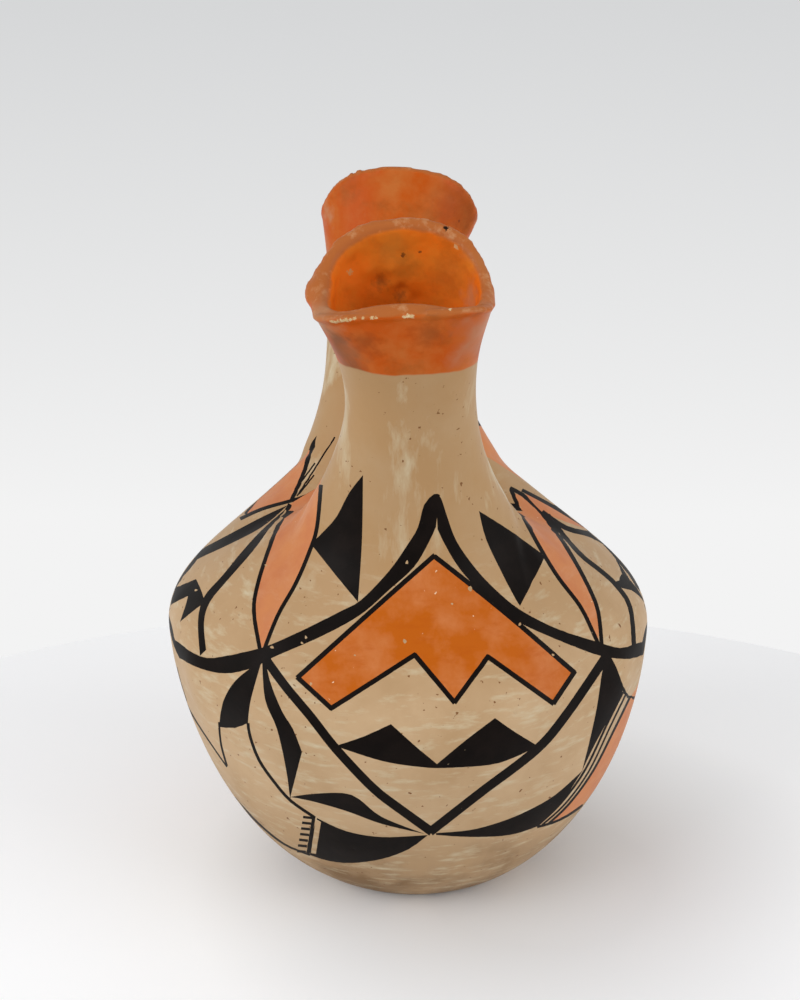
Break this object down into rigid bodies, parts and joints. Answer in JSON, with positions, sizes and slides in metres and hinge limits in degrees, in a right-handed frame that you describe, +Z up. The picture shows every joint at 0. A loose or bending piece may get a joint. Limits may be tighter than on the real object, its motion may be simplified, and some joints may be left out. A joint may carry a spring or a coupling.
{
  "type": "wedding vase",
  "caption": "Hand-built fired clay wedding vase: round belly, two flared spouts with hooded rims, low bridge handle between the spouts.",
  "frame": {"origin": "middle of the flat foot the vase stands on", "axes": "+Z up out of the foot; one spout towards -Y and the other towards +Y; X across the spouts"},
  "size_m": [0.1624, 0.1618, 0.2321],
  "materials": {
    "clay": "stone-polished cream slip with black and orange paint, unglazed"
  },
  "bodies": {
    "root": {"vase": "clay"}
  },
  "joints": []
}
